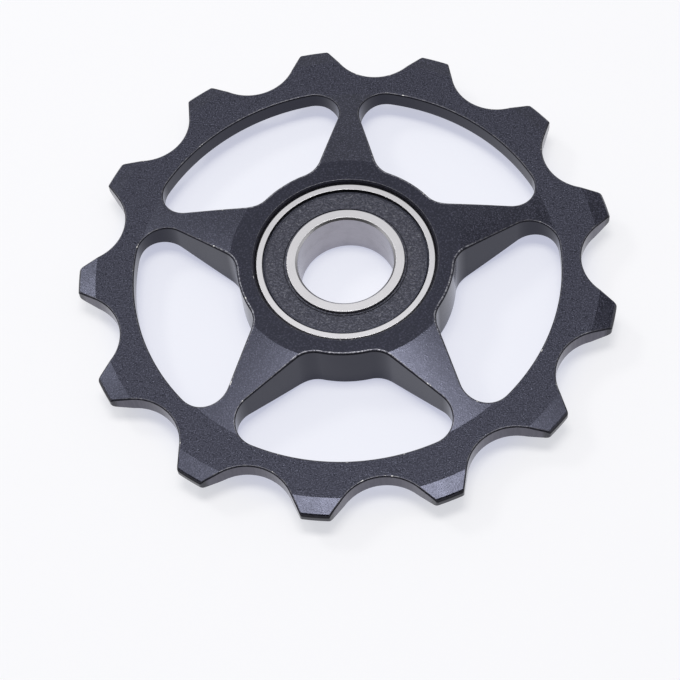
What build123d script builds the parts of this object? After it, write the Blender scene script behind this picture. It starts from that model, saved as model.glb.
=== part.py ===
from build123d import *
import math
import os

# Derailleur jockey wheel: a thirteen-tooth spoked aluminium wheel on a sealed ball bearing.
# The axle runs along Z, the wheel lies flat, and the origin is the centre of the bore.

# Bearing envelope
bore_diameter = 9.0
bearing_diameter = 17.0
bearing_width = 5.0
ring_chamfer = 0.2

# Bearing rings: walls beside the seals as shares of the section height, and the races for the balls
inner_land_share = 0.25
outer_mouth_share = 0.18
race_depth = 0.34
race_conformity = 0.52
seal_groove_depth = 0.22
seal_groove_height = 0.3

# Balls, and the two pressed halves of the cage that spaces them
ball_count = 11
ball_share = 0.496
race_clearance = 0.02
cage_sheet = 0.2
cage_ring_gap = 0.2
pocket_clearance = 0.05

# Seals: a moulded disc that snaps into the outer ring, with a lip at the inner ring
seal_recess = 0.25
seal_thickness = 0.5
seal_fit = 0.02
lip_clearance = 0.03
lip_width = 0.2
lip_groove_width = 0.08
lip_groove_depth = 0.12
seal_face_step = 0.05
edge_bead_width = 0.14
edge_bead_gap = 0.16

# Hub: the bearing sits deeper below the upper face than below the lower one
upper_recess = 0.38
lower_recess = 0.08
seat_fit = 0.01
seat_chamfer = 0.15
hub_wall = 1.65

# Chain: its pitch, and the roller as a share of the pitch
chain_pitch = 12.7
roller_share = 0.61

# Teeth: round-bottomed gaps with straight flanks, coned faces and broken tips
tooth_count = 13
root_clearance = 0.81
gap_side_clearance = 0.575
flank_angle = 44.0
tooth_height = 3.45
tooth_chamfer_width = 1.7
tip_thickness = 1.3
tip_break_width = 0.22
tip_break_height = 0.25
tip_corner_radius = 0.3

# Rim, spokes and windows
rim_thickness = 1.9
rim_width = 1.85
spoke_count = 5
spoke_hub_width = 5.7
spoke_rim_width = 0.1
window_hub_fillet = 2.45
window_rim_fillet = 2.5
hub_face_step = 0.65
rim_face_step = 0.3

# Placing of the patterns: the first spoke in degrees from +X, and the spoke that a tooth gap is centred on
first_spoke_angle = 90.0
gap_spoke = 4

# Working values: how far cuts run past their faces, and how close counts as on a circle
overrun = 0.2
touch = 0.001

# Derived sizes of the bearing
bore_radius = bore_diameter / 2
bearing_radius = bearing_diameter / 2
half_bearing = bearing_width / 2
section_height = bearing_radius - bore_radius
ball_diameter = ball_share * section_height
ball_radius = ball_diameter / 2
pitch_radius = (bore_radius + bearing_radius) / 2
race_radius = race_conformity * ball_diameter
race_angle = math.degrees(math.acos(1 - race_depth / race_radius))
race_half_width = race_radius * math.sin(math.radians(race_angle))
inner_race_radius = pitch_radius - ball_radius - race_clearance
outer_race_radius = pitch_radius + ball_radius + race_clearance
inner_shoulder_radius = inner_race_radius + race_depth
outer_shoulder_radius = outer_race_radius - race_depth
inner_land_radius = bore_radius + inner_land_share * section_height
outer_mouth_radius = bearing_radius - outer_mouth_share * section_height
seal_groove_radius = outer_mouth_radius + seal_groove_depth
seal_top = half_bearing - seal_recess
seal_seat = seal_top - seal_thickness
seal_groove_top = seal_seat + seal_groove_height

# Derived sizes of the wheel: teeth from the chain, rim from the teeth, hub from the bearing
chain_radius = chain_pitch / (2 * math.sin(math.pi / tooth_count))
roller_radius = roller_share * chain_pitch / 2
root_radius = chain_radius - roller_radius - root_clearance
gap_arc_radius = roller_radius + gap_side_clearance
tip_radius = root_radius + tooth_height
tip_break_radius = tip_radius - tip_break_width
tooth_chamfer_radius = tip_radius - tooth_chamfer_width
window_outer_radius = root_radius - rim_width
rim_face_radius = window_outer_radius - rim_face_step
window_inner_radius = bearing_radius + hub_wall
hub_face_radius = window_inner_radius + hub_face_step
seat_radius = bearing_radius + seat_fit
hub_thickness = bearing_width + upper_recess + lower_recess
wheel_middle = (upper_recess - lower_recess) / 2
half_hub = hub_thickness / 2
half_rim = rim_thickness / 2
half_tip = tip_thickness / 2
first_gap_angle = first_spoke_angle + (gap_spoke - 1) * 360 / spoke_count

os.makedirs("parts", exist_ok=True)


def radius_of(vertex):
    return math.hypot(vertex.X, vertex.Y)


def write_node(part, name):
    part.label = name
    export_step(part, f"parts/{name}.step")


# One tooth gap, with its axis along +X
flank = math.radians(flank_angle)
flank_x = root_radius + gap_arc_radius * (1 - math.sin(flank))
flank_y = gap_arc_radius * math.cos(flank)
mouth_x = tip_radius + overrun
mouth_y = flank_y + (mouth_x - flank_x) * math.tan(flank)

with BuildSketch() as tooth_gap:
    with BuildLine():
        ThreePointArc((flank_x, -flank_y), (root_radius, 0), (flank_x, flank_y))
        Polyline((flank_x, flank_y), (mouth_x, mouth_y), (mouth_x, -mouth_y), (flank_x, -flank_y))
    make_face()

# The toothed outline, with the corners of the tips rounded
with BuildSketch() as teeth:
    Circle(tip_radius)
    with PolarLocations(0, tooth_count, start_angle=first_gap_angle):
        add(tooth_gap.sketch, mode=Mode.SUBTRACT)
    tips = teeth.vertices().filter_by(lambda v: radius_of(v) > tip_radius - touch)
    fillet(tips, tip_corner_radius)

# The windows: a ring between hub and rim, parted by tapered spokes
half_spoke_hub = spoke_hub_width / 2
half_spoke_rim = spoke_rim_width / 2
spoke_taper = (half_spoke_hub - half_spoke_rim) / (window_outer_radius - window_inner_radius)
spoke_root_x = window_inner_radius - half_spoke_hub
spoke_root_y = half_spoke_hub * (1 + spoke_taper)
spoke_end_x = window_outer_radius + overrun
window_middle_radius = (window_inner_radius + window_outer_radius) / 2

with BuildSketch() as windows:
    Circle(window_outer_radius)
    Circle(window_inner_radius, mode=Mode.SUBTRACT)
    with PolarLocations(0, spoke_count, start_angle=first_spoke_angle):
        Polygon(
            (spoke_root_x, -spoke_root_y),
            (window_outer_radius, -half_spoke_rim),
            (spoke_end_x, -half_spoke_rim),
            (spoke_end_x, half_spoke_rim),
            (window_outer_radius, half_spoke_rim),
            (spoke_root_x, spoke_root_y),
            align=None,
            mode=Mode.SUBTRACT,
        )
    hub_corners = windows.vertices().filter_by(lambda v: radius_of(v) < window_middle_radius)
    fillet(hub_corners, window_hub_fillet)
    rim_corners = windows.vertices().filter_by(lambda v: radius_of(v) > window_outer_radius - touch)
    fillet(rim_corners, window_rim_fillet)

# Wheel body: the milled outline, turned to the section of hub, spoke cones, rim and teeth
break_slope = tip_break_height / tip_break_width
upper_section = [
    (seat_radius, half_hub - seat_chamfer),
    (seat_radius + seat_chamfer, half_hub),
    (hub_face_radius, half_hub),
    (rim_face_radius, half_rim),
    (tooth_chamfer_radius, half_rim),
    (tip_break_radius, half_tip),
    (tip_radius + overrun, half_tip - (tip_break_width + overrun) * break_slope),
]
lower_section = [(r, -z) for r, z in reversed(upper_section)]

wheel_plane = Plane.XY.offset(wheel_middle)
section_plane = Plane(origin=(0, 0, wheel_middle), x_dir=(1, 0, 0), z_dir=(0, -1, 0))

with BuildPart() as wheel_body:
    with BuildSketch(wheel_plane) as outline:
        add(teeth.sketch)
        add(windows.sketch, mode=Mode.SUBTRACT)
    extrude(amount=hub_thickness, both=True)
    with BuildSketch(section_plane) as wheel_section:
        with BuildLine():
            Polyline(*upper_section, *lower_section, close=True)
        make_face()
    revolve(axis=Axis.Z, mode=Mode.INTERSECT)
write_node(wheel_body.part, "wheel_body")

# Outer ring: the upper half of its section from the race round to the outside, then mirrored
with BuildPart() as outer_ring:
    with BuildSketch(Plane.XZ) as outer_ring_section:
        with BuildLine():
            CenterArc((outer_race_radius - race_radius, 0), race_radius, 0, race_angle)
            Polyline(
                (outer_shoulder_radius, race_half_width),
                (outer_shoulder_radius, seal_seat),
                (seal_groove_radius, seal_seat),
                (seal_groove_radius, seal_groove_top),
                (outer_mouth_radius, seal_groove_top),
                (outer_mouth_radius, half_bearing),
                (bearing_radius - ring_chamfer, half_bearing),
                (bearing_radius, half_bearing - ring_chamfer),
                (bearing_radius, 0),
                (outer_race_radius, 0),
            )
        make_face()
    revolve(axis=Axis.Z)
    mirror(about=Plane.XY)
write_node(outer_ring.part, "bearing_outer_ring")

# Inner ring: the same, from the race over the seal's land to the bore
with BuildPart() as inner_ring:
    with BuildSketch(Plane.XZ) as inner_ring_section:
        with BuildLine():
            CenterArc((inner_race_radius + race_radius, 0), race_radius, 180, -race_angle)
            Polyline(
                (inner_shoulder_radius, race_half_width),
                (inner_shoulder_radius, seal_seat - lip_width),
                (inner_land_radius, seal_seat - lip_width),
                (inner_land_radius, half_bearing),
                (bore_radius + ring_chamfer, half_bearing),
                (bore_radius, half_bearing - ring_chamfer),
                (bore_radius, 0),
                (inner_race_radius, 0),
            )
        make_face()
    revolve(axis=Axis.Z)
    mirror(about=Plane.XY)
write_node(inner_ring.part, "bearing_inner_ring")

# Seals: lip, groove, flat face, raised edge and the bead that holds in the outer ring's groove
lip_radius = inner_land_radius + lip_clearance
lip_groove_radius = lip_radius + lip_width
seal_face_radius = lip_groove_radius + lip_groove_width
edge_bead_outer_radius = outer_mouth_radius - edge_bead_gap
edge_bead_inner_radius = edge_bead_outer_radius - edge_bead_width
seal_face = seal_top - seal_face_step

with BuildPart() as upper_seal:
    with BuildSketch(Plane.XZ) as seal_section:
        with BuildLine():
            Polyline(
                (lip_radius, seal_seat),
                (lip_radius, seal_face),
                (lip_groove_radius, seal_face),
                (lip_groove_radius, seal_face - lip_groove_depth),
                (seal_face_radius, seal_face - lip_groove_depth),
                (seal_face_radius, seal_face),
                (edge_bead_inner_radius, seal_face),
                (edge_bead_inner_radius, seal_top),
                (edge_bead_outer_radius, seal_top),
                (edge_bead_outer_radius, seal_groove_top - seal_fit),
                (seal_groove_radius - seal_fit, seal_groove_top - seal_fit),
                (seal_groove_radius - seal_fit, seal_seat),
                close=True,
            )
        make_face()
    revolve(axis=Axis.Z)
write_node(upper_seal.part, "upper_seal")

with BuildPart() as lower_seal:
    mirror(upper_seal.part, about=Plane.XY)
write_node(lower_seal.part, "lower_seal")

# Cage: a flat band of sheet, pressed out over the balls, in two halves that meet at the mid-plane
pocket_radius = ball_radius + pocket_clearance
pocket_outer_radius = pocket_radius + cage_sheet
cage_inner_radius = inner_shoulder_radius + cage_ring_gap
cage_outer_radius = outer_shoulder_radius - cage_ring_gap

with BuildSketch() as cage_band:
    Circle(cage_outer_radius)
    Circle(cage_inner_radius, mode=Mode.SUBTRACT)

with BuildPart() as cage_upper_half:
    extrude(cage_band.sketch, amount=cage_sheet)
    with PolarLocations(pitch_radius, ball_count):
        Sphere(pocket_outer_radius)
    extrude(cage_band.sketch, amount=pocket_outer_radius + overrun, mode=Mode.INTERSECT)
    with PolarLocations(pitch_radius, ball_count):
        Sphere(pocket_radius, mode=Mode.SUBTRACT)
write_node(cage_upper_half.part, "cage_upper_half")

with BuildPart() as cage_lower_half:
    mirror(cage_upper_half.part, about=Plane.XY)
write_node(cage_lower_half.part, "cage_lower_half")

# Balls
for number, place in enumerate(PolarLocations(pitch_radius, ball_count), start=1):
    with BuildPart() as ball:
        with Locations(place):
            Sphere(ball_radius)
    write_node(ball.part, f"ball_{number:02d}")
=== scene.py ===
import math

import bpy
import numpy as np
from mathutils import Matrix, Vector
from mathutils.geometry import delaunay_2d_cdt


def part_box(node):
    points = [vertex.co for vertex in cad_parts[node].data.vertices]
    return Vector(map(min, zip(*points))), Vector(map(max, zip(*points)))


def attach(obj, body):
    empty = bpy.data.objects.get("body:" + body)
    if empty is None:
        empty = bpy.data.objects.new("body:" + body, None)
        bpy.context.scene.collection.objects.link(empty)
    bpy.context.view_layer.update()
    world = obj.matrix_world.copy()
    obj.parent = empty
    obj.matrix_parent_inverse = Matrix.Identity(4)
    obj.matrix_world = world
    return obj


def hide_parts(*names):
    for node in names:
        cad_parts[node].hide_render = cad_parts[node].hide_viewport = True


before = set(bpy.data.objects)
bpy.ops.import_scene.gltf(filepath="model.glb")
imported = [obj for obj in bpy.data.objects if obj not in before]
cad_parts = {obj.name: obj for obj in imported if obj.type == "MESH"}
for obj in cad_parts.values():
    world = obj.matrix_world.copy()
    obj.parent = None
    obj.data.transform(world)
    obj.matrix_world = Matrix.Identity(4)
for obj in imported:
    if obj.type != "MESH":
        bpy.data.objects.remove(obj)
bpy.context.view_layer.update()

bl_info = {
    "name": "Jockey wheel dresser",
    "version": (1, 0, 0),
    "blender": (4, 5, 0),
    "location": "View3D > Sidebar > Jockey wheel",
    "description": "Builds the finished surfaces of a spoked jockey wheel and its bearing",
    "category": "Add Mesh",
}

MM = 0.001
MICRON = 0.000001

# Steps of the meshes: along outlines, round turned pieces, across races and over rounded corners
OUTLINE_STEP = 0.22 * MM
ROUND_STEPS = 256
RACE_STEPS = 14
CORNER_DEGREES = 22
EDGE_TURNS = np.radians([72, 54, 36, 18, 0])
CREASE_HALVINGS = 30

# How close counts as on a crease in metres, and as one point of the plan in millimetres
ON_CREASE = 1e-8
SAME_POINT = 1e-7

# Places of the wheel's finishes in its list of materials, and how many strips of an edge take the lighter
# finish, partly wear and partly painted highlight; the strips below them take painted shade
CONE, WALL, PAINTED_SHADE, WORN_HIGHLIT, TURNED, FLAT = range(6)
WORN_HIGHLIT_STRIPS = 2

# Turns the directions of an upper face into those of the lower one
BELOW = np.array([1.0, 1.0, -1.0])

wheel_low, wheel_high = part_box("wheel_body")
ring_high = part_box("bearing_outer_ring")[1]
BALL_NODES = sorted(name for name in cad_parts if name.startswith("ball_"))
CAGE_NODES = ["cage_upper_half", "cage_lower_half"]


def whole(name, description, default, low, high):
    """A whole number property."""
    return bpy.props.IntProperty(name=name, description=description, default=default, min=low, max=high)


def degrees(name, description, default):
    """An angle property, with its default in degrees."""
    return bpy.props.FloatProperty(
        name=name, description=description, default=math.radians(default), subtype="ANGLE"
    )


def watts(name, description, default):
    """A lamp's power property."""
    return bpy.props.FloatProperty(name=name, description=description, default=default, unit="POWER")


def length(name, description, default):
    """A length property, with its default in millimetres."""
    return bpy.props.FloatProperty(
        name=name, description=description, default=default * MM, precision=6, subtype="DISTANCE",
        unit="LENGTH",
    )


def colour(name, description, default):
    """A linear colour property."""
    return bpy.props.FloatVectorProperty(
        name=name, description=description, default=default, size=3, min=0.0, max=1.0, subtype="COLOR"
    )


class WheelSizes(bpy.types.PropertyGroup):
    """Sizes of the toothed wheel."""

    tooth_count: whole("Teeth", "Number of teeth", 13, 8, 20)
    spoke_count: whole("Spokes", "Number of spokes", 5, 3, 8)
    gap_spoke: whole("Gap spoke", "The spoke that has a tooth gap on its axis", 4, 1, 8)
    first_spoke: degrees("First spoke", "Direction of the first spoke", 90)
    root_radius: length("Root radius", "From the axle to the bottom of a tooth gap", 21.85)
    tip_radius: length("Tip radius", "From the axle to a tooth's tip", 25.299)
    gap_arc: length("Gap arc", "Radius of the round bottom of a tooth gap", 4.4485)
    flank_angle: degrees("Flank angle", "Lean of a tooth's flank from the gap's axis", 44)
    tip_corner: length("Tip corner", "Rounding of a tip's corners in plan", 0.3)
    tip_break: length("Tip break", "Radius where the bevel at a tip begins", 25.08)
    tip_drop: length("Tip drop", "Height of the bevel at a tip", 0.25)
    tip_thickness: length("Tip thickness", "Thickness where the bevel at a tip begins", 1.3)
    tooth_cone: length("Tooth cone", "Radius where a tooth's faces begin to slope", 23.6)
    rim_thickness: length("Rim thickness", "Thickness of the rim between its flat faces", 1.9)
    rim_face: length("Rim face", "Radius where the spokes' slope meets the rim", 19.7)
    hub_face: length("Hub face", "Radius of the hub's flat face", 10.8)
    window_inner: length("Window inner radius", "Radius of a window's edge at the hub", 10.15)
    window_outer: length("Window outer radius", "Radius of a window's edge at the rim", 20.0)
    spoke_hub_width: length("Spoke width at the hub", "Width of a spoke at the window's inner radius", 5.7)
    spoke_rim_width: length("Spoke width at the rim", "Width its sides would leave at the outer radius", 0.1)
    hub_fillet: length("Hub fillet", "Rounding of a window's corners at the hub", 2.45)
    rim_fillet: length("Rim fillet", "Rounding of a window's corners at the rim", 2.5)
    seat_radius: length("Seat radius", "Radius of the bearing's seat", 8.51)
    seat_chamfer: length("Seat chamfer", "Chamfer at the mouth of the seat", 0.15)
    edge_break: length("Edge break", "Rounding of the milled edges", 0.15)
    hub_edge_break: length("Hub edge break", "Rounding of the milled edges beside the hub", 0.22)
    hub_edge_fade: length("Hub edge fade", "Distance over which the hub's rounding fades out", 3.0)
    seat_blend: length("Seat blend", "Rounding where the seat's chamfer meets the hub and the seat", 0.04)


class BearingSizes(bpy.types.PropertyGroup):
    """Sizes of the bearing's rings and seals."""

    bore_radius: length("Bore radius", "Radius of the inner ring's bore", 4.5)
    land_radius: length("Land radius", "Radius of the inner ring's outside, under the seal's lip", 5.5)
    inner_shoulder: length("Inner shoulder", "Radius of the inner ring beside its race", 5.828)
    inner_race: length("Inner race", "Radius at the bottom of the inner race", 5.488)
    outer_race: length("Outer race", "Radius at the bottom of the outer race", 7.512)
    outer_shoulder: length("Outer shoulder", "Radius of the outer ring beside its race", 7.172)
    mouth_radius: length("Mouth radius", "Radius inside the outer ring's face", 7.78)
    groove_radius: length("Groove radius", "Radius of the groove that holds the seal", 8.0)
    race_half_width: length("Race half width", "Half the width of a race", 0.7646)
    chamfer: length("Chamfer", "Chamfer at the bore and at the outside", 0.2)
    edge_round: length("Edge rounding", "Rounding of the ground edges", 0.035)
    seal_top: length("Seal top", "Height of the seal's raised edge", 2.25)
    seal_face: length("Seal face", "Height of the seal's flat face", 2.2)
    seal_seat: length("Seal seat", "Height of the seal's underside", 1.75)
    groove_top: length("Groove top", "Height of the top of the seal's groove", 2.05)
    lip_radius: length("Lip radius", "Radius inside the seal's lip", 5.53)
    lip_width: length("Lip width", "Width of the seal's lip", 0.2)
    lip_groove: length("Lip groove", "Depth of the groove behind the lip", 0.12)
    lip_groove_width: length("Lip groove width", "Width of the groove behind the lip", 0.08)
    bead_outer: length("Bead outside", "Outer radius of the seal's raised edge", 7.62)
    bead_width: length("Bead width", "Width of the seal's raised edge", 0.14)
    seal_fit: length("Seal fit", "Play of the seal in its groove", 0.02)


class Finishes(bpy.types.PropertyGroup):
    """Colours of the surfaces."""

    anodise_dark: colour("Anodise, dark", "Darker grains of the blasted black anodise", (0.003, 0.003, 0.006))
    anodise_light: colour("Anodise, light", "Lighter grains of the black anodise", (0.022, 0.022, 0.036))
    # Painted glints: light specks put into the colour of the black faces
    anodise_painted_glint: colour("Anodise, speck", "Light specks of the black faces", (0.062, 0.062, 0.088))
    anodise_tint: colour("Anodise, tint", "Tint of what the black anodise reflects", (0.72, 0.75, 1.0))
    wall_dark: colour("Milled wall", "Milled walls of the windows", (0.013, 0.013, 0.018))
    # Painted light: the walls between the teeth are lighter, standing in for the light of the open floor
    wall_gap_painted_light: colour("Milled wall, tooth gap", "Milled walls between the teeth", (0.31, 0.30, 0.41))
    wall_tint: colour("Milled wall, tint", "Tint of what the milled walls reflect", (0.62, 0.64, 1.0))
    # Partly wear and partly painted highlight: the lighter colour along the upper part of broken edges
    edge_wear_and_highlight: colour("Edge, worn", "Broken edges where the black is rubbed thin", (0.26, 0.26, 0.29))
    edge_nick: colour("Edge, nick", "Bare metal where an edge is nicked", (0.52, 0.51, 0.50))
    # Painted shade: black on the steep part of edges, the seat, the tooth tips, the outer ring's inside and
    # the seal's edge
    edge_painted_shade: colour("Edge, shade", "Broken edges below their bright line", (0.006, 0.006, 0.009))
    ring_steel: colour("Ring steel", "Ground bearing steel", (0.475, 0.468, 0.483))
    ring_shade: colour("Ring steel, shade", "Grinding lines of the bearing steel", (0.40, 0.394, 0.407))
    bore_steel: colour("Bore steel", "Honed bore of the inner ring", (0.37, 0.356, 0.382))
    seal_rubber: colour("Seal rubber", "Moulded rubber of the seals", (0.037, 0.036, 0.042))
    seal_dust: colour("Seal dust", "Dust on the seals", (0.10, 0.10, 0.11))
    cage_steel: colour("Cage steel", "Pressed sheet of the cage", (0.55, 0.54, 0.53))
    ball_steel: colour("Ball steel", "Polished balls", (0.74, 0.74, 0.75))
    felt_dark: colour("Felt, dark", "Darker fibres of the black cards", (0.02, 0.02, 0.022))
    felt_light: colour("Felt, light", "Lighter fibres of the black cards", (0.05, 0.05, 0.055))
    floor_white: colour("Floor", "The pale floor", (0.32, 0.312, 0.30))
    floor_glow: colour("Floor glow", "White that the floor adds where it is seen", (0.611, 0.619, 0.655))
    # Painted shade: the floor under the wheel, darker and bluer
    painted_shade_white: colour("Floor shade", "The floor under the wheel", (0.374, 0.369, 0.325))
    painted_shade_glow: colour("Floor shade, glow", "White that it adds under the wheel", (0.491, 0.508, 0.628))


class StageSettings(bpy.types.PropertyGroup):
    """Floor, light and camera."""

    floor_half: length("Floor half width", "Half the width of the floor", 2500.0)
    key_power: watts("Key power", "Power of the lamp over the wheel", 1.75)
    strip_power: watts("Strip power", "Power of the wide lamp over the wheel", 1.05)
    side_power: watts("Side power", "Power of the lamp behind the wheel on the left", 0.72)
    sky_level: bpy.props.FloatProperty(
        name="Sky level", description="Strength of the light all round", default=0.36, min=0.0, max=1.0
    )
    sky_tint: colour("Sky tint", "Tint of the light all round", (0.985, 0.99, 1.0))
    camera_place: bpy.props.FloatVectorProperty(
        name="Camera place", description="Where the camera stands", size=3, subtype="TRANSLATION",
        default=(0.0130047, -0.1056701, 0.1790505), unit="LENGTH", precision=6,
    )
    camera_turn: bpy.props.FloatVectorProperty(
        name="Camera turn", description="How the camera is turned", size=3, subtype="EULER",
        default=(math.radians(28.83975), math.radians(3.79543), math.radians(0.97540)),
    )
    camera_lens: bpy.props.FloatProperty(
        name="Camera lens", description="Focal length in millimetres, on a sensor 36 mm wide",
        default=117.546, unit="CAMERA",
    )


class JockeyWheelSettings(bpy.types.PropertyGroup):
    """Everything that the panel shows."""

    wheel: bpy.props.PointerProperty(type=WheelSizes)
    bearing: bpy.props.PointerProperty(type=BearingSizes)
    finish: bpy.props.PointerProperty(type=Finishes)
    stage: bpy.props.PointerProperty(type=StageSettings)


# Plan outlines. Each is a list of points and of directions that point out of the metal.

def directions(angles):
    """Directions in plan at those angles, one row each."""
    return np.column_stack([np.cos(angles), np.sin(angles)])


def turn(points, angle):
    """Points or directions turned about the axle."""
    c, s = math.cos(angle), math.sin(angle)
    points = np.asarray(points)
    return np.column_stack([points[:, 0] * c - points[:, 1] * s, points[:, 0] * s + points[:, 1] * c])


def arc(centre, radius, start, end, step, facing):
    """Points along an arc without its last one, with directions that face out of its centre or into it."""
    count = max(2, math.ceil(abs(end - start) * radius / step))
    angles = start + (end - start) * np.arange(count) / count
    outward = directions(angles)
    return np.asarray(centre) + radius * outward, facing * outward


def run(start, end, step, normal):
    """Points along a straight run without its last one."""
    start, end = np.asarray(start), np.asarray(end)
    count = max(1, math.ceil(np.linalg.norm(end - start) / step))
    share = (np.arange(count) / count)[:, None]
    return start + share * (end - start), np.repeat(np.asarray(normal)[None], count, axis=0)


def joined(parts):
    """The points and the directions of several parts, one after the other."""
    return np.vstack([p for p, n in parts]), np.vstack([n for p, n in parts])


def mirrored(half, axis, end_angle, end_radius):
    """The other half of an outline, mirrored in a line through the axle, with the first one's end added."""
    end = directions(end_angle)
    closed = np.vstack([half[0], end * end_radius]), np.vstack([half[1], end])
    return [turn(turn(rows, -axis) * [1.0, -1.0], axis)[:0:-1] for rows in closed]


def reach_radius(start, direction, radius, side):
    """How far a line from start runs until it crosses that radius, first (side -1) or last (side 1)."""
    along = float(np.dot(start, direction))
    return -along + side * math.sqrt(along * along - float(np.dot(start, start)) + radius * radius)


def tooth_outline(sizes, step):
    """The outline round all teeth, anticlockwise."""
    lean = sizes.flank_angle
    centre = np.array([sizes.root_radius + sizes.gap_arc, 0.0])
    reach = math.pi / 2 - lean
    foot = centre + sizes.gap_arc * np.array([-math.cos(reach), math.sin(reach)])
    along = np.array([math.cos(lean), math.sin(lean)])
    into = np.array([-math.sin(lean), math.cos(lean)])
    start = foot + sizes.tip_corner * into
    corner = start + reach_radius(start, along, sizes.tip_radius - sizes.tip_corner, 1) * along
    corner_angle = math.atan2(corner[1], corner[0])
    half_tooth = math.pi / sizes.tooth_count
    corner_step = step / 4
    half = joined([
        arc(centre, sizes.gap_arc, math.pi, math.pi - reach, step, -1),
        run(foot, corner - sizes.tip_corner * into, step, -into),
        arc(corner, sizes.tip_corner, lean - math.pi / 2, corner_angle, corner_step, 1),
        arc((0, 0), sizes.tip_radius, corner_angle, half_tooth, step, 1),
    ])
    points, facing = joined([mirrored(half, 0.0, half_tooth, sizes.tip_radius), half])
    first = sizes.first_spoke + (sizes.gap_spoke - 1) * 2 * math.pi / sizes.spoke_count
    turns = [first + 2 * half_tooth * k for k in range(sizes.tooth_count)]
    return np.vstack([turn(points, a) for a in turns]), np.vstack([turn(facing, a) for a in turns])


def window_outline(sizes, step):
    """The outline of one window, clockwise, with the spoke on its right along +X."""
    outer, inner = sizes.window_outer, sizes.window_inner
    taper = (sizes.spoke_hub_width - sizes.spoke_rim_width) / 2 / (outer - inner)
    corner = np.array([outer, sizes.spoke_rim_width / 2])
    inward = np.array([-1.0, taper]) / math.hypot(1, taper)
    into = np.array([taper, 1.0]) / math.hypot(1, taper)
    from_rim = corner + sizes.rim_fillet * into
    rim_centre = from_rim + reach_radius(from_rim, inward, outer - sizes.rim_fillet, -1) * inward
    from_hub = corner + sizes.hub_fillet * into
    hub_centre = from_hub + reach_radius(from_hub, inward, inner + sizes.hub_fillet, -1) * inward
    rim_angle = math.atan2(rim_centre[1], rim_centre[0])
    hub_angle = math.atan2(hub_centre[1], hub_centre[0])
    side_angle = math.atan2(-into[1], -into[0])
    middle = math.pi / sizes.spoke_count
    half = joined([
        arc((0, 0), outer, middle, rim_angle, step, -1),
        arc(rim_centre, sizes.rim_fillet, rim_angle, side_angle, step, -1),
        run(rim_centre - sizes.rim_fillet * into, hub_centre - sizes.hub_fillet * into, step, into),
        arc(hub_centre, sizes.hub_fillet, side_angle, hub_angle - math.pi, step, -1),
        arc((0, 0), inner, hub_angle, middle, step, 1),
    ])
    return joined([half, mirrored(half, middle, middle, inner)])


class WheelForm:
    """The turned section of the wheel: height and slope of its faces over the radius, in metres."""

    def __init__(self, sizes):
        self.middle = (wheel_low.z + wheel_high.z) / 2
        half_hub = (wheel_high.z - wheel_low.z) / 2
        self.creases = [sizes.hub_face, sizes.rim_face, sizes.tooth_cone, sizes.tip_break]
        self.radii = np.array([0.0, *self.creases, sizes.tip_radius])
        self.heights = np.array([
            half_hub, half_hub, sizes.rim_thickness / 2, sizes.rim_thickness / 2, sizes.tip_thickness / 2,
            sizes.tip_thickness / 2 - sizes.tip_drop,
        ])
        self.slopes = np.diff(self.heights) / np.diff(self.radii)
        self.break_radii = [sizes.hub_face, sizes.hub_face + sizes.hub_edge_fade]
        self.breaks = [sizes.hub_edge_break, sizes.edge_break]

    def height(self, radius):
        """Half the wheel's thickness there."""
        return np.interp(radius, self.radii, self.heights)

    def slope(self, radius):
        """Rise of the upper face over the radius."""
        band = np.clip(np.searchsorted(self.radii, radius, side="right") - 1, 0, len(self.slopes) - 1)
        return self.slopes[band]

    def edge_break(self, radius):
        """Width of the rounding of a milled edge there."""
        return np.interp(radius, self.break_radii, self.breaks)

    def facing(self, points, band_radius):
        """The upper face's directions at those points, on the band that holds band_radius."""
        radius = np.linalg.norm(points, axis=1)[:, None]
        slope = np.broadcast_to(np.asarray(self.slope(band_radius)), (len(points),))[:, None]
        rows = np.hstack([-slope * points / radius, np.ones_like(radius)])
        return rows / np.linalg.norm(rows, axis=1)[:, None]


def inset(form, points, facing):
    """Where the edge's rounding meets the face."""
    width = form.edge_break(np.linalg.norm(points, axis=1))[:, None]
    return points - facing * width


def with_crease_points(form, points, facing):
    """The outline with a point added wherever its inset crosses one of the section's creases."""
    new_points, new_facing = [], []
    count = len(points)
    radius = np.linalg.norm(inset(form, points, facing), axis=1)
    for i in range(count):
        j = (i + 1) % count
        new_points.append(points[i])
        new_facing.append(facing[i])
        crossed = [c for c in form.creases if (radius[i] - c) * (radius[j] - c) < 0]
        for crease in sorted(crossed, reverse=bool(radius[i] > radius[j])):
            low, high = 0.0, 1.0
            for _ in range(CREASE_HALVINGS):
                share = (low + high) / 2
                p = points[i] + share * (points[j] - points[i])
                n = facing[i] + share * (facing[j] - facing[i])
                n = n / np.linalg.norm(n)
                r = np.linalg.norm(inset(form, p[None], n[None])[0])
                if (r - crease) * (radius[i] - crease) > 0:
                    low = share
                else:
                    high = share
            new_points.append(p)
            new_facing.append(n)
    return np.array(new_points), np.array(new_facing)


def inside(points, loop):
    """Which points lie inside a closed outline."""
    x, y = points[:, 0][:, None], points[:, 1][:, None]
    x0, y0 = loop[:, 0], loop[:, 1]
    x1, y1 = np.roll(x0, -1), np.roll(y0, -1)
    spans = (y0 > y) != (y1 > y)
    rise = np.where(y1 == y0, 1.0, y1 - y0)
    crossing = x0 + (y - y0) * (x1 - x0) / rise
    return (np.sum(spans & (x < crossing), axis=1) % 2) == 1


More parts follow.
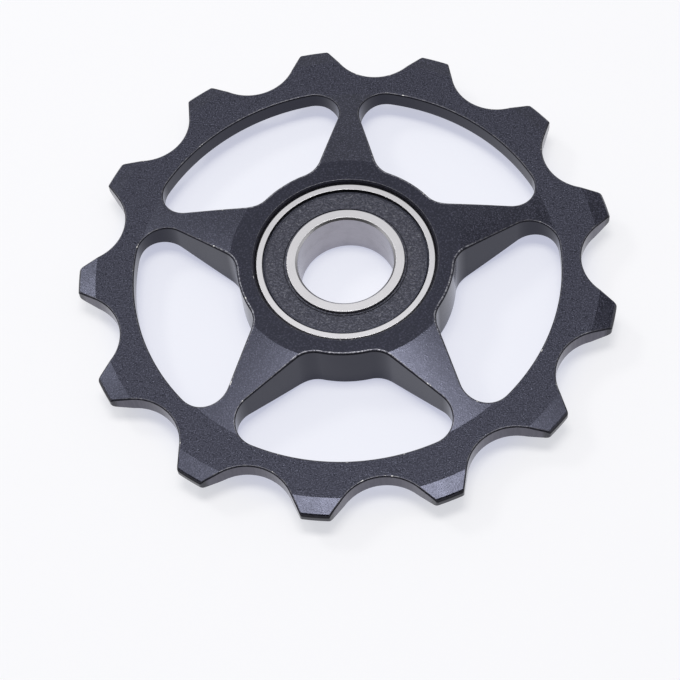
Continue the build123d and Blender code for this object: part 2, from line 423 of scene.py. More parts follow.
class Shell:
    """Gathers corners, faces, corner directions and finishes, and makes a mesh of them."""

    def __init__(self):
        self.corners = []
        self.faces = []
        self.facing = []
        self.finish = []

    def add_corners(self, rows):
        """Adds corners and gives their numbers."""
        start = len(self.corners)
        self.corners.extend(map(tuple, rows))
        return np.arange(start, start + len(rows))

    def add_face(self, corners, facing, finish):
        """Adds a face with a direction at each of its corners."""
        self.faces.append(tuple(int(i) for i in corners))
        self.facing.append([tuple(n) for n in facing])
        self.finish.append(finish)

    def add_strip(self, first, second, first_facing, second_facing, finish):
        """Quads between two closed rows of corners."""
        for i in range(len(first)):
            j = (i + 1) % len(first)
            self.add_face(
                (first[i], first[j], second[j], second[i]),
                (first_facing[i], first_facing[j], second_facing[j], second_facing[i]),
                finish,
            )

    def add_level(self, ring, middle, rise, facing):
        """A row of corners above the middle, the same row below it, and the upper row's directions."""
        rise = np.broadcast_to(rise, (len(ring),))
        above = self.add_corners(np.column_stack([ring, middle + rise]))
        return above, self.add_corners(np.column_stack([ring, middle - rise])), facing

    def add_edges(self, levels):
        """The strips of an upper and a lower edge: rubbed and painted with a highlight beside the face,
        painted as shade and dull below.
        """
        for k, (first, second) in enumerate(zip(levels, levels[1:])):
            finish = WORN_HIGHLIT if k < WORN_HIGHLIT_STRIPS else PAINTED_SHADE
            self.add_strip(first[0], second[0], first[2], second[2], finish)
            self.add_strip(first[1], second[1], first[2] * BELOW, second[2] * BELOW, finish)

    def make(self, name, materials):
        """The mesh as an object in the scene, every face turned to its own directions."""
        corners = np.array(self.corners)
        for i, face in enumerate(self.faces):
            p = corners[list(face)]
            normal = np.cross(p[1] - p[0], p[2] - p[0])
            if len(face) == 4:
                normal = normal + np.cross(p[2] - p[0], p[3] - p[0])
            if np.dot(normal, np.sum(self.facing[i], axis=0)) < 0:
                self.faces[i] = face[::-1]
                self.facing[i] = self.facing[i][::-1]
        mesh = bpy.data.meshes.new(name)
        mesh.from_pydata(self.corners, [], self.faces)
        if mesh.validate():
            raise RuntimeError(f"{name} has faces that aren't valid")
        for material in materials:
            mesh.materials.append(material)
        mesh.polygons.foreach_set("material_index", self.finish)
        mesh.polygons.foreach_set("use_smooth", [True] * len(self.faces))
        mesh.normals_split_custom_set([n for face in self.facing for n in face])
        piece = bpy.data.objects.new(name, mesh)
        bpy.context.scene.collection.objects.link(piece)
        return piece


def face_plan(form, loops, seat_loop, step):
    """The flat plan of the wheel's faces: points, triangles, and the radius in the middle of each."""
    spacing = 2.5 * step
    clearance = 0.9 * step
    points = []
    edges = []
    for loop in [*loops, seat_loop]:
        start = len(points)
        points.extend(loop)
        edges.extend((start + i, start + (i + 1) % len(loop)) for i in range(len(loop)))
    edge_points = np.array(points)
    edge_radius = np.linalg.norm(edge_points, axis=1)

    def in_metal(rows):
        """Which points lie on the wheel's faces."""
        found = inside(rows, loops[0]) & ~inside(rows, seat_loop)
        for loop in loops[1:]:
            found &= ~inside(rows, loop)
        return found

    for crease in form.creases:
        on = np.where(np.abs(edge_radius - crease) < ON_CREASE)[0]
        if len(on) == 0:
            raise RuntimeError("a crease of the wheel meets no edge")
        angles = np.arctan2(edge_points[on, 1], edge_points[on, 0])
        order = np.argsort(angles)
        on, angles = on[order], angles[order]
        for i in range(len(on)):
            a0, a1 = angles[i], angles[(i + 1) % len(on)]
            if a1 <= a0:
                a1 += 2 * math.pi
            if not in_metal(directions((a0 + a1) / 2) * crease)[0]:
                continue
            count = max(1, math.ceil((a1 - a0) * crease / step))
            between = directions(a0 + (a1 - a0) * np.arange(1, count) / count) * crease
            chain = [int(on[i]), *range(len(points), len(points) + len(between)), int(on[(i + 1) % len(on)])]
            points.extend(between)
            edges.extend(zip(chain, chain[1:]))

    grid = []
    sloped = [(a, b) for a, b, s in zip(form.radii, form.radii[1:], form.slopes) if s != 0]
    for low, high in sloped:
        rows = max(1, round((high - low) / spacing))
        for k in range(1, rows):
            r = low + (high - low) * k / rows
            around = math.ceil(2 * math.pi * r / spacing)
            a = 2 * math.pi * (np.arange(around) + 0.5 * (k % 2)) / around
            grid.append(directions(a) * r)
    grid = np.vstack(grid)
    grid = grid[in_metal(grid)]
    all_points = np.array(points)
    gap = np.array([np.min(np.sum((all_points - g) ** 2, axis=1)) for g in grid])
    points.extend(grid[gap > clearance ** 2])

    flat = [Vector(p / MM) for p in points]
    out_points, _, triangles, _, _, _ = delaunay_2d_cdt(flat, edges, [], 0, SAME_POINT)
    if len(out_points) != len(flat):
        raise RuntimeError("the wheel's plan has edges that cross")
    points = np.array(points)
    triangles = np.array(triangles)
    centres = points[triangles].mean(axis=1)
    triangles = triangles[in_metal(centres)]
    bands = np.linalg.norm(points[triangles].mean(axis=1), axis=1)
    return points, triangles, bands


# Finishes. Each is a node material in the object's own coordinates.

SOCKETS = {"metal": "Metallic", "roughness": "Roughness", "specular": "Specular IOR Level"}


class Finish:
    """A material with one Principled shader, and short ways to add nodes to it."""

    def __init__(self, name):
        self.material = bpy.data.materials.new(name)
        self.material.use_nodes = True
        self.nodes = self.material.node_tree.nodes
        self.links = self.material.node_tree.links
        self.shader = self.nodes["Principled BSDF"]
        self.place = self.nodes.new("ShaderNodeTexCoord").outputs["Object"]

    def noise(self, scale, detail, roughness, vector=None):
        """Soft noise from 0 to 1, of that many grains to the metre."""
        node = self.nodes.new("ShaderNodeTexNoise")
        node.inputs["Scale"].default_value = scale
        node.inputs["Detail"].default_value = detail
        node.inputs["Roughness"].default_value = roughness
        self.links.new(vector or self.place, node.inputs["Vector"])
        return node.outputs["Fac"]

    def ramp(self, factor, low, high):
        """The factor stretched so that low becomes 0 and high becomes 1."""
        node = self.nodes.new("ShaderNodeMapRange")
        node.interpolation_type = "SMOOTHSTEP"
        node.inputs["From Min"].default_value = low
        node.inputs["From Max"].default_value = high
        self.links.new(factor, node.inputs["Value"])
        return node.outputs["Result"]

    def between(self, factor, low, high):
        """A plain range from low to high over the factor's 0 to 1."""
        node = self.nodes.new("ShaderNodeMapRange")
        node.inputs["To Min"].default_value = low
        node.inputs["To Max"].default_value = high
        self.links.new(factor, node.inputs["Value"])
        return node.outputs["Result"]

    def blend(self, factor, first, second):
        """A colour between two others, each a plain colour or a node's output."""
        node = self.nodes.new("ShaderNodeMix")
        node.data_type = "RGBA"
        self.links.new(factor, node.inputs["Factor"])
        for socket, value in ((node.inputs[6], first), (node.inputs[7], second)):
            if isinstance(value, bpy.types.NodeSocket):
                self.links.new(value, socket)
            else:
                socket.default_value = (*value, 1.0)
        return node.outputs[2]

    def scaled(self, x, y, z):
        """The place with each axis stretched."""
        node = self.nodes.new("ShaderNodeVectorMath")
        node.operation = "MULTIPLY"
        node.inputs[1].default_value = (x, y, z)
        self.links.new(self.place, node.inputs[0])
        return node.outputs["Vector"]

    def radius(self):
        """Distance from the axle."""
        node = self.nodes.new("ShaderNodeVectorMath")
        node.operation = "LENGTH"
        self.links.new(self.scaled(1.0, 1.0, 0.0), node.inputs[0])
        return node.outputs["Value"]

    def beyond(self, start, full):
        """0 nearer to the axle than start and 1 farther than full, both in millimetres."""
        return self.ramp(self.radius(), start * MM, full * MM)

    def turned(self):
        """Distance from the axle and height, the same all round, for marks left by turning and grinding."""
        split = self.nodes.new("ShaderNodeSeparateXYZ")
        self.links.new(self.place, split.inputs[0])
        made = self.nodes.new("ShaderNodeCombineXYZ")
        self.links.new(self.radius(), made.inputs["X"])
        self.links.new(split.outputs["Z"], made.inputs["Y"])
        return made.outputs["Vector"]

    def bump(self, height, strength, microns):
        """A relief of that depth."""
        node = self.nodes.new("ShaderNodeBump")
        node.inputs["Strength"].default_value = strength
        node.inputs["Distance"].default_value = microns * MICRON
        self.links.new(height, node.inputs["Height"])
        self.links.new(node.outputs["Normal"], self.shader.inputs["Normal"])

    def colour(self, value):
        """The surface's own colour, from a node's output."""
        self.links.new(value, self.shader.inputs["Base Color"])

    def roughness(self, value):
        """The surface's roughness, from a node's output."""
        self.links.new(value, self.shader.inputs["Roughness"])

    def even(self, **levels):
        """Values that are the same all over the surface."""
        for name, level in levels.items():
            self.shader.inputs[SOCKETS[name]].default_value = level

    def mirrors(self, level, tint):
        """How much the surface reflects, and in what tint."""
        self.even(specular=level)
        self.shader.inputs["Specular Tint"].default_value = (*tint, 1.0)


def new_material(build, finish):
    """The material that one of the functions below builds, under that function's name."""
    made = Finish(build.__name__)
    build(made, finish)
    return made.material


def dimmed(tone, share):
    """A colour at a share of its brightness."""
    return [share * c for c in tone]


def blasted(made, finish, patch, painted_glint_start, level, pit_microns):
    """Black anodise over blasting: light specks painted in as glints, darker patches, and pits that glint."""
    grain = made.noise(6500, 1.0, 0.6)
    painted_glint_speck = made.noise(8200, 1.0, 0.5)
    tone = made.blend(made.ramp(painted_glint_speck, painted_glint_start, 0.66), finish.anodise_dark, finish.anodise_painted_glint)
    made.colour(made.blend(patch, tone, finish.anodise_dark))
    made.mirrors(level, finish.anodise_tint)
    made.bump(made.ramp(grain, 0.48, 0.74), 1.0, pit_microns)


def blasted_cone(made, finish):
    """The teeth's and spokes' slopes, blasted fine."""
    mottle = made.noise(950, 4.0, 0.75)
    blasted(made, finish, made.between(mottle, 0.0, 0.5), 0.50, 0.52, 3)
    made.roughness(made.between(mottle, 0.21, 0.36))


def blasted_flat(made, finish):
    """The rim's flat faces, blasted coarser, with grains of different gloss."""
    patch = made.noise(900, 3.0, 0.7)
    gloss = made.ramp(made.noise(2700, 2.0, 0.6), 0.34, 0.66)
    blasted(made, finish, made.between(patch, 0.0, 0.4), 0.48, 0.42, 14)
    made.roughness(made.between(gloss, 0.24, 0.56))


def turned_anodise(made, finish):
    """The hub's faces, turned and blacker, with faint lines round the axle and faint light specks painted in
    as glints.
    """
    lines = made.noise(5200, 2.0, 0.6, made.turned())
    grain = made.noise(4600, 3.0, 0.7)
    painted_glint_speck = made.between(made.ramp(made.noise(5600, 2.0, 0.6), 0.50, 0.72), 0.0, 0.55)
    tone = made.blend(made.ramp(grain, 0.52, 0.72), finish.anodise_dark, finish.anodise_light)
    made.colour(made.blend(painted_glint_speck, tone, finish.anodise_painted_glint))
    made.roughness(made.between(lines, 0.34, 0.46))
    made.mirrors(0.31, finish.anodise_tint)
    made.bump(grain, 0.7, 20)


def milled_anodise(made, finish):
    """Milled walls, smoother than the faces, painted lighter between the teeth for the light of the open
    floor, and black on their tips.
    """
    marks = made.noise(1.0, 2.0, 0.5, made.scaled(3400, 3400, 420))
    tone = made.blend(made.beyond(20.5, 21.7), finish.wall_dark, finish.wall_gap_painted_light)
    tone = made.blend(made.beyond(24.6, 25.0), tone, finish.wall_dark)
    made.colour(made.blend(made.between(marks, 0.0, 0.5), tone, finish.wall_dark))
    made.roughness(made.between(marks, 0.10, 0.18))
    made.mirrors(0.34, finish.wall_tint)
    made.bump(marks, 0.15, 10)


def worn_and_highlit_edge(made, finish):
    """The upper part of broken edges, lighter: partly the black rubbed thin and partly a painted highlight
    for the bright line along the edge, most beside the hub, with nicks of bare metal and painted shade on the
    tips.
    """
    grain = made.noise(4200, 3.0, 0.65)
    faint = dimmed(finish.edge_wear_and_highlight, 0.35)
    wear_and_highlight = made.blend(made.beyond(9.0, 9.8), faint, finish.edge_wear_and_highlight)
    wear_and_highlight = made.blend(made.beyond(11.2, 13.2), wear_and_highlight, faint)
    wear_and_highlight = made.blend(made.beyond(24.0, 24.6), wear_and_highlight, finish.edge_painted_shade)
    tone = made.blend(made.ramp(grain, 0.38, 0.70), finish.anodise_light, wear_and_highlight)
    nick = made.noise(1300, 2.0, 0.6)
    made.colour(made.blend(made.ramp(nick, 0.67, 0.73), tone, finish.edge_nick))
    made.roughness(made.between(grain, 0.30, 0.44))
    made.even(metal=0.5)
    made.bump(grain, 0.5, 20)


def edge_painted_shade(made, finish):
    """The steep part of broken edges and the bearing's seat, painted black as shade, and dull."""
    grain = made.noise(5200, 3.0, 0.65)
    made.colour(made.blend(made.ramp(grain, 0.3, 0.7), finish.edge_painted_shade, finish.anodise_light))
    made.roughness(made.between(grain, 0.45, 0.6))
    made.even(specular=0.15)
    made.bump(grain, 0.3, 10)


def ring_steel(made, finish):
    """Ground bearing steel, with fine lines round the axle."""
    lines = made.noise(16000, 2.0, 0.6, made.turned())
    stain = made.noise(420, 3.0, 0.6)
    tone = made.blend(made.ramp(lines, 0.3, 0.7), finish.ring_steel, finish.ring_shade)
    made.colour(made.blend(made.between(made.ramp(stain, 0.45, 0.8), 0.0, 0.6), tone, finish.ring_shade))
    made.roughness(made.between(lines, 0.28, 0.40))
    made.even(metal=1.0)
    made.bump(lines, 0.12, 4)


def honed_bore(made, finish):
    """The inner ring's honed bore, duller than the faces."""
    lines = made.noise(9000, 2.0, 0.6, made.turned())
    stain = made.noise(520, 3.0, 0.65)
    tone = made.blend(made.ramp(lines, 0.3, 0.7), finish.bore_steel, dimmed(finish.bore_steel, 0.95))
    made.colour(made.blend(made.ramp(stain, 0.40, 0.75), tone, dimmed(finish.bore_steel, 0.84)))
    made.roughness(made.between(lines, 0.16, 0.24))
    made.even(metal=1.0)
    made.bump(lines, 0.05, 3)


def mouth_painted_shade(made, finish):
    """The outer ring's inside, darkened at the seal with painted shade."""
    smear = made.noise(2400, 2.0, 0.5)
    made.colour(made.blend(smear, finish.edge_painted_shade, dimmed(finish.ring_steel, 0.12)))
    made.roughness(made.between(smear, 0.30, 0.45))
    made.even(metal=0.6)


def seal_rubber(made, finish):
    """Moulded rubber with a grained skin and a little dust, painted black as shade beside the outer ring."""
    skin = made.noise(5600, 1.0, 0.6)
    dust = made.noise(3800, 1.0, 0.4)
    tone = made.blend(made.ramp(skin, 0.35, 0.68), dimmed(finish.seal_rubber, 0.2), finish.seal_rubber)
    tone = made.blend(made.ramp(dust, 0.62, 0.76), tone, finish.seal_dust)
    # Painted shade: black beside the outer ring
    made.colour(made.blend(made.beyond(7.46, 7.52), tone, finish.edge_painted_shade))
    made.roughness(made.between(skin, 0.26, 0.52))
    made.mirrors(0.5, finish.anodise_tint)
    made.bump(made.ramp(skin, 0.44, 0.72), 1.0, 14)


def cage_sheet(made, finish):
    """Pressed sheet steel, dulled by tumbling."""
    scuff = made.noise(3000, 3.0, 0.6)
    made.colour(made.blend(scuff, finish.cage_steel, dimmed(finish.cage_steel, 0.8)))
    made.roughness(made.between(scuff, 0.30, 0.45))
    made.even(metal=1.0)
    made.bump(scuff, 0.1, 6)


def polished_ball(made, finish):
    """Polished bearing balls with a trace of grease."""
    smear = made.noise(900, 2.0, 0.5)
    made.colour(made.blend(smear, finish.ball_steel, dimmed(finish.ball_steel, 0.92)))
    made.roughness(made.between(smear, 0.05, 0.14))
    made.even(metal=1.0)


def dark_felt(made, finish):
    """Black felt of the cards beside the camera's view."""
    nap = made.noise(400, 3.0, 0.6)
    made.colour(made.blend(nap, finish.felt_dark, finish.felt_light))
    made.even(roughness=0.9, specular=0.1)


# Turned pieces

def rounded(profile, radius):
    """A closed profile with small rounded corners: rows of radius, height and direction out of the metal."""
    profile = np.array(profile, float)
    following = np.roll(profile, -1, axis=0)
    if np.sum(profile[:, 0] * following[:, 1] - following[:, 0] * profile[:, 1]) < 0:
        profile = profile[::-1]
    count = len(profile)
    most_cut = 0.4
    least_sine = 1e-6
    rows = []
    for i in range(count):
        before, here, after = profile[i - 1], profile[i], profile[(i + 1) % count]
        d0 = (here - before) / np.linalg.norm(here - before)
        d1 = (after - here) / np.linalg.norm(after - here)
        n0, n1 = np.array([d0[1], -d0[0]]), np.array([d1[1], -d1[0]])
        bend = math.acos(max(-1.0, min(1.0, float(np.dot(d0, d1)))))
        room = most_cut * min(np.linalg.norm(here - before), np.linalg.norm(after - here))
        cut = min(radius * math.tan(bend / 2), room)
        steps = max(1, round(math.degrees(bend) / CORNER_DEGREES))
        for k in range(steps + 1):
            share = k / steps
            across = (n1 - n0 * math.cos(bend)) / max(math.sin(bend), least_sine)
            n = n0 * math.cos(share * bend) + across * math.sin(share * bend)
            start, end = here - d0 * cut, here + d1 * cut
            control = (1 - share) ** 2 * start + 2 * share * (1 - share) * here + share ** 2 * end
            rows.append((*control, *(n / np.linalg.norm(n))))
    return rows


def all_round():
    """Directions out of the axle, all the way round."""
    return directions(2 * math.pi * np.arange(ROUND_STEPS) / ROUND_STEPS)


def raised(plan, height):
    """Plan points or directions with the same height added to each."""
    return np.column_stack([plan, np.full(len(plan), height)])


def turned_piece(name, profile, rounding, materials, bore=0.0):
    """A piece turned about the axle from its closed profile. Walls at the bore take the second material."""
    rows = rounded(profile, rounding)
    out = all_round()
    shell = Shell()
    rings = []
    for r, z, nr, nz in rows:
        rings.append((shell.add_corners(raised(r * out, z)), raised(nr * out, nz)))
    for i, (ring, facing) in enumerate(rings):
        after, after_facing = rings[(i + 1) % len(rings)]
        on_bore = max(rows[i][0], rows[(i + 1) % len(rows)][0]) < bore + MICRON
        shell.add_strip(ring, after, facing, after_facing, 1 if on_bore else 0)
    return shell.make(name, materials)


def both_sides(upper):
    """The upper half of a profile, followed by its mirror image below."""
    return upper + [(r, -z) for r, z in reversed(upper)]


def race(edge_radius, floor_radius, half_width):
    """Points across a race from its lower edge to its upper one."""
    depth = abs(edge_radius - floor_radius)
    ball = (half_width ** 2 + depth ** 2) / (2 * depth)
    reach = math.asin(half_width / ball)
    side = 1 if floor_radius < edge_radius else -1
    angles = np.linspace(-reach, reach, RACE_STEPS)
    return [(floor_radius + side * ball * (1 - math.cos(a)), ball * math.sin(a)) for a in angles]


def flat_sheet(name, half_x, half_y, height):
    """A flat rectangle of one face about the origin."""
    corners = [(x * half_x, y * half_y, height) for x, y in ((-1, -1), (1, -1), (1, 1), (-1, 1))]
    mesh = bpy.data.meshes.new(name)
    mesh.from_pydata(corners, [], [(0, 1, 2, 3)])
    sheet = bpy.data.objects.new(name, mesh)
    bpy.context.scene.collection.objects.link(sheet)
    return sheet


def seen_rays(nodes, links):
    """1 on rays from the camera, from reflections and through glass, and 0 on scattered light."""
    path = nodes.new("ShaderNodeLightPath")
    seen = path.outputs["Is Camera Ray"]
    for name in ("Is Glossy Ray", "Is Transmission Ray"):
        either = nodes.new("ShaderNodeMath")
        either.operation = "MAXIMUM"
        links.new(seen, either.inputs[0])
        links.new(path.outputs[name], either.inputs[1])
        seen = either.outputs[0]
    return seen


def towards_wheel(place):
    """The turn that makes a lamp or a card at that place face the wheel."""
    return (-Vector(place)).to_track_quat("-Z", "Y").to_euler()


def stand_in(piece, node, body):
    """The piece stands for a CAD node, which it hides, and moves with its body."""
    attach(piece, body)
    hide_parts(node)


def dress(node, material):
    """Give a CAD node its finish, with its facets shaded as one round surface."""
    node.data.materials.clear()
    node.data.materials.append(material)
    node.data.polygons.foreach_set("use_smooth", [True] * len(node.data.polygons))


class JOCKEY_OT_wheel(bpy.types.Operator):
    """Build the toothed, spoked wheel with broken edges"""

    bl_idname = "jockey.wheel"
    bl_label = "Toothed wheel"

    def execute(self, context):
        settings = context.scene.jockey_wheel
        sizes = settings.wheel
        form = WheelForm(sizes)
        outlines = [with_crease_points(form, *tooth_outline(sizes, OUTLINE_STEP))]
        window = window_outline(sizes, OUTLINE_STEP)
        for k in range(sizes.spoke_count):
            angle = sizes.first_spoke + 2 * math.pi * k / sizes.spoke_count
            outlines.append(with_crease_points(form, turn(window[0], angle), turn(window[1], angle)))
        mouth = sizes.seat_radius + sizes.seat_chamfer
        seat_out = all_round()
        seat_loop = seat_out * (mouth + sizes.seat_blend)

        shell = Shell()
        loops = [inset(form, points, facing) for points, facing in outlines]
        plan, triangles, bands = face_plan(form, loops, seat_loop, 2 * OUTLINE_STEP)
        radius = np.linalg.norm(plan, axis=1)
        high = form.height(radius)
        up = shell.add_corners(np.column_stack([plan, form.middle + high]))
        down = shell.add_corners(np.column_stack([plan, form.middle - high]))
        for corners, band in zip(triangles, bands):
            facing = form.facing(plan[corners], band)
            place = CONE
            if band < sizes.hub_face:
                place = TURNED
            elif sizes.rim_face < band < sizes.tooth_cone:
                place = FLAT
            shell.add_face(up[corners], facing, place)
            shell.add_face(down[corners], facing * BELOW, place)

        start = 0
        for points, facing in outlines:
            count = len(points)
            width = form.edge_break(np.linalg.norm(points, axis=1))
            edge = plan[start:start + count]
            wall_facing = np.hstack([facing, np.zeros((count, 1))])
            face_facing = form.facing(edge, np.linalg.norm(edge, axis=1))
            levels = [(up[start:start + count], down[start:start + count], face_facing)]
            for t in EDGE_TURNS:
                ring = points - facing * (width * (1 - math.cos(t)))[:, None]
                rise = form.height(np.linalg.norm(ring, axis=1)) - width * (1 - math.sin(t))
                lean = wall_facing * math.cos(t) + face_facing * math.sin(t)
                lean = lean / np.linalg.norm(lean, axis=1)[:, None]
                levels.append(shell.add_level(ring, form.middle, rise, lean))
            # Edge strips: lighter beside the face, partly wear and partly painted highlight, and painted
            # shade below
            shell.add_edges(levels)
            shell.add_strip(levels[-1][0], levels[-1][1], wall_facing, wall_facing, WALL)
            start += count

        # Radius, half height and direction of each row, over the chamfer and into the seat
        half_hub = form.heights[0]
        bevel_low = half_hub - sizes.seat_chamfer
        blend = sizes.seat_blend
        seat_rows = [
            (mouth + 0.375 * blend, half_hub - 0.3 * blend, -0.38, 0.92),
            (mouth - 0.25 * blend, half_hub - 0.875 * blend, -0.707, 0.707),
            (sizes.seat_radius + 0.5 * blend, bevel_low, -0.707, 0.707),
            (sizes.seat_radius, bevel_low - blend, -1.0, 0.0),
        ]
        levels = [(up[start:start + ROUND_STEPS], down[start:start + ROUND_STEPS], raised(0 * seat_out, 1.0))]
        for r, rise, lean_out, lean_up in seat_rows:
            lean = raised(seat_out * lean_out, lean_up)
            levels.append(shell.add_level(seat_out * r, form.middle, rise, lean))
        # The seat takes the same edge strips, and its wall is painted black as shade
        shell.add_edges(levels)
        above, below, lean = levels[-1]
        shell.add_strip(above, below, lean, lean, PAINTED_SHADE)

        # In the order of the places CONE to FLAT
        builds = [blasted_cone, milled_anodise, edge_painted_shade, worn_and_highlit_edge, turned_anodise, blasted_flat]
        piece = shell.make("machined_wheel", [new_material(build, settings.finish) for build in builds])
        stand_in(piece, "wheel_body", "wheel")
        return {"FINISHED"}


class JOCKEY_OT_rings(bpy.types.Operator):
    """Turn the bearing's two rings with their races and grooves"""

    bl_idname = "jockey.rings"
    bl_label = "Bearing rings"

    def execute(self, context):
        settings = context.scene.jockey_wheel
        s = settings.bearing
        top = ring_high.z
        outside = ring_high.x
        steel = new_material(ring_steel, settings.finish)
        outer_upper = [
            (s.outer_shoulder, s.seal_seat), (s.groove_radius, s.seal_seat), (s.groove_radius, s.groove_top),
            (s.mouth_radius, s.groove_top), (s.mouth_radius, top), (outside - s.chamfer, top),
            (outside, top - s.chamfer),
        ]
        outer = race(s.outer_shoulder, s.outer_race, s.race_half_width) + both_sides(outer_upper)
        inner_upper = [
            (s.inner_shoulder, s.seal_seat - s.lip_width), (s.land_radius, s.seal_seat - s.lip_width),
            (s.land_radius, top), (s.bore_radius + s.chamfer, top), (s.bore_radius, top - s.chamfer),
        ]
        inner = race(s.inner_shoulder, s.inner_race, s.race_half_width) + both_sides(inner_upper)
        # The outer ring's inside at the seal is painted dark as shade
        mouth = new_material(mouth_painted_shade, settings.finish)
        stand_in(turned_piece("ground_outer_ring", outer, s.edge_round, [steel, mouth], s.mouth_radius),
                 "bearing_outer_ring", "wheel")
        bore = new_material(honed_bore, settings.finish)
        stand_in(turned_piece("ground_inner_ring", inner, s.edge_round, [steel, bore], s.bore_radius),
                 "bearing_inner_ring", "inner_ring")
        return {"FINISHED"}


class JOCKEY_OT_seals(bpy.types.Operator):
    """Turn the two moulded seals with lip, groove and raised edge"""

    bl_idname = "jockey.seals"
    bl_label = "Seals"

    def execute(self, context):
        settings = context.scene.jockey_wheel
        s = settings.bearing
        rubber = new_material(seal_rubber, settings.finish)
        groove_in = s.lip_radius + s.lip_width
        groove_out = groove_in + s.lip_groove_width
        hold = s.groove_radius - s.seal_fit
        upper = [
            (s.lip_radius, s.seal_seat), (s.lip_radius, s.seal_face), (groove_in, s.seal_face),
            (groove_in, s.seal_face - s.lip_groove), (groove_out, s.seal_face - s.lip_groove),
            (groove_out, s.seal_face), (s.bead_outer - s.bead_width, s.seal_face),
            (s.bead_outer - s.bead_width, s.seal_top), (s.bead_outer, s.seal_top),
            (s.bead_outer, s.groove_top - s.seal_fit), (hold, s.groove_top - s.seal_fit), (hold, s.seal_seat),
        ]
        lower = [(r, -z) for r, z in upper]
        for name, profile, node in (("moulded_upper_seal", upper, "upper_seal"),
                                    ("moulded_lower_seal", lower, "lower_seal")):
            stand_in(turned_piece(name, profile, s.edge_round, [rubber]), node, "wheel")
        return {"FINISHED"}


class JOCKEY_OT_cage(bpy.types.Operator):
    """Finish the two pressed halves of the cage"""

    bl_idname = "jockey.cage"
    bl_label = "Cage"

    def execute(self, context):
        sheet = new_material(cage_sheet, context.scene.jockey_wheel.finish)
        for name in CAGE_NODES:
            dress(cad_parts[name], sheet)
        return {"FINISHED"}


class JOCKEY_OT_balls(bpy.types.Operator):
    """Finish the balls of the bearing"""

    bl_idname = "jockey.balls"
    bl_label = "Balls"

    def execute(self, context):
        polish = new_material(polished_ball, context.scene.jockey_wheel.finish)
        for name in BALL_NODES:
            dress(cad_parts[name], polish)
        return {"FINISHED"}


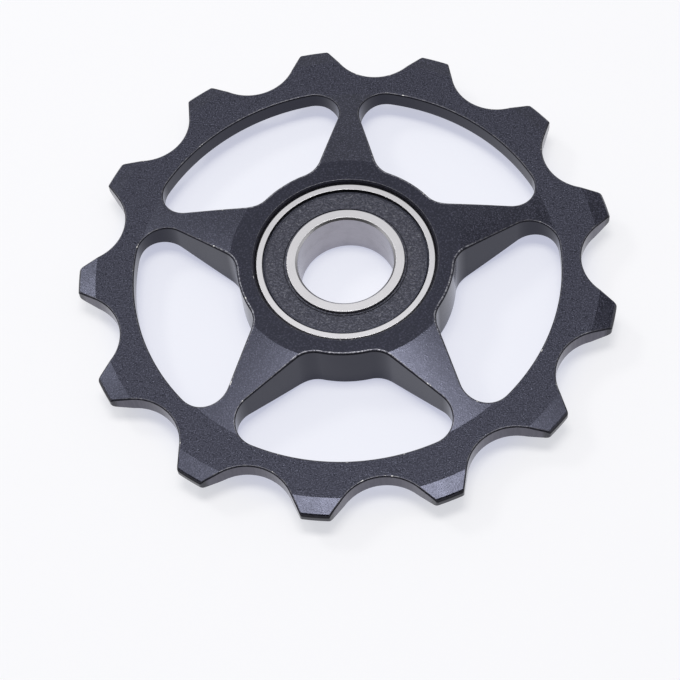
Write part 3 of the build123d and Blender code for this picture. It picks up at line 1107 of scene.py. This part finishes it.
class JOCKEY_OT_stage(bpy.types.Operator):
    """Set up the pale floor, the soft light and the camera"""

    bl_idname = "jockey.stage"
    bl_label = "Stage"

    def execute(self, context):
        scene = context.scene
        stage = scene.jockey_wheel.stage
        finish = scene.jockey_wheel.finish
        scene.view_settings.view_transform = "Standard"

        floor = flat_sheet("floor", stage.floor_half, stage.floor_half, wheel_low.z)
        paper = Finish("floor_paper")
        fibre = paper.noise(900, 3.0, 0.6)
        # Under the wheel the floor is painted darker and bluer, as shade
        clear = paper.beyond(19.5, 25.0)
        tone = paper.blend(fibre, finish.floor_white, dimmed(finish.floor_white, 0.985))
        paper.colour(paper.blend(clear, finish.painted_shade_white, tone))
        glow = paper.blend(clear, finish.painted_shade_glow, finish.floor_glow)
        paper.links.new(glow, paper.shader.inputs["Emission Color"])
        paper.even(roughness=0.6, specular=0.2)
        paper.links.new(seen_rays(paper.nodes, paper.links), paper.shader.inputs["Emission Strength"])
        floor.data.materials.append(paper.material)

        world = bpy.data.worlds.new("studio")
        world.use_nodes = True
        nodes, links = world.node_tree.nodes, world.node_tree.links
        sky = nodes["Background"]
        level = nodes.new("ShaderNodeMapRange")
        level.inputs["To Min"].default_value = stage.sky_level
        level.inputs["To Max"].default_value = 1.0
        links.new(seen_rays(nodes, links), level.inputs["Value"])
        links.new(level.outputs["Result"], sky.inputs["Strength"])
        sky.inputs["Color"].default_value = (*stage.sky_tint, 1.0)
        scene.world = world

        warm, cool = (1.0, 0.995, 0.985), (0.98, 0.99, 1.0)
        felt = new_material(dark_felt, finish)
        self.card("front_card", (0.0, -0.46, 0.26), 1.6, 0.53, felt)
        self.card("right_card", (0.32, 0.36, 0.58), 0.26, 0.26, felt)
        self.lamp(scene, "key_lamp", (0.003, 0.028, 0.62), 0.22, 0.12, stage.key_power, warm)
        self.lamp(scene, "strip_lamp", (0.0, 0.06, 0.70), 0.66, 0.16, stage.strip_power, warm)
        self.lamp(scene, "side_lamp", (-0.375, 0.268, 0.482), 0.12, 0.12, stage.side_power, cool)

        camera_data = bpy.data.cameras.new("camera")
        camera_data.sensor_width = 36.0
        camera_data.lens = stage.camera_lens
        camera_data.clip_start = 0.005
        camera_data.clip_end = 20.0
        camera = bpy.data.objects.new("camera", camera_data)
        camera.location = stage.camera_place
        camera.rotation_euler = stage.camera_turn
        scene.collection.objects.link(camera)
        scene.camera = camera
        return {"FINISHED"}

    def card(self, name, place, width, height, felt):
        """A dark card that faces the wheel, as photographers use, and that only reflections show."""
        card = flat_sheet(name, width / 2, height / 2, 0.0)
        card.data.materials.append(felt)
        card.location = place
        card.rotation_euler = towards_wheel(place)
        card.visible_camera = False

    def lamp(self, scene, name, place, width, depth, power, tint):
        """A rectangular soft lamp that faces the wheel."""
        data = bpy.data.lights.new(name, "AREA")
        data.shape = "RECTANGLE"
        data.size = width
        data.size_y = depth
        data.energy = power
        data.color = tint
        lamp = bpy.data.objects.new(name, data)
        lamp.location = place
        lamp.rotation_euler = towards_wheel(place)
        scene.collection.objects.link(lamp)


class JOCKEY_PT_panel(bpy.types.Panel):
    """Lists the pieces and their settings"""

    bl_idname = "JOCKEY_PT_panel"
    bl_label = "Jockey wheel"
    bl_space_type = "VIEW_3D"
    bl_region_type = "UI"
    bl_category = "Jockey wheel"

    def draw(self, context):
        layout = self.layout
        for operator in OPERATORS:
            layout.operator(operator.bl_idname)
        settings = context.scene.jockey_wheel
        for group in (settings.wheel, settings.bearing, settings.finish, settings.stage):
            box = layout.box()
            for name in group.__annotations__:
                box.prop(group, name)


GROUPS = (WheelSizes, BearingSizes, Finishes, StageSettings, JockeyWheelSettings)
OPERATORS = (
    JOCKEY_OT_wheel, JOCKEY_OT_rings, JOCKEY_OT_seals, JOCKEY_OT_cage, JOCKEY_OT_balls, JOCKEY_OT_stage,
)


def register():
    for item in (*GROUPS, *OPERATORS, JOCKEY_PT_panel):
        bpy.utils.register_class(item)
    bpy.types.Scene.jockey_wheel = bpy.props.PointerProperty(type=JockeyWheelSettings)


def unregister():
    del bpy.types.Scene.jockey_wheel
    for item in reversed((*GROUPS, *OPERATORS, JOCKEY_PT_panel)):
        bpy.utils.unregister_class(item)


def main():
    """Build every piece and the stage."""
    register()
    bpy.ops.jockey.wheel()
    bpy.ops.jockey.rings()
    bpy.ops.jockey.seals()
    bpy.ops.jockey.cage()
    bpy.ops.jockey.balls()
    bpy.ops.jockey.stage()


if __name__ == "__main__":
    main()
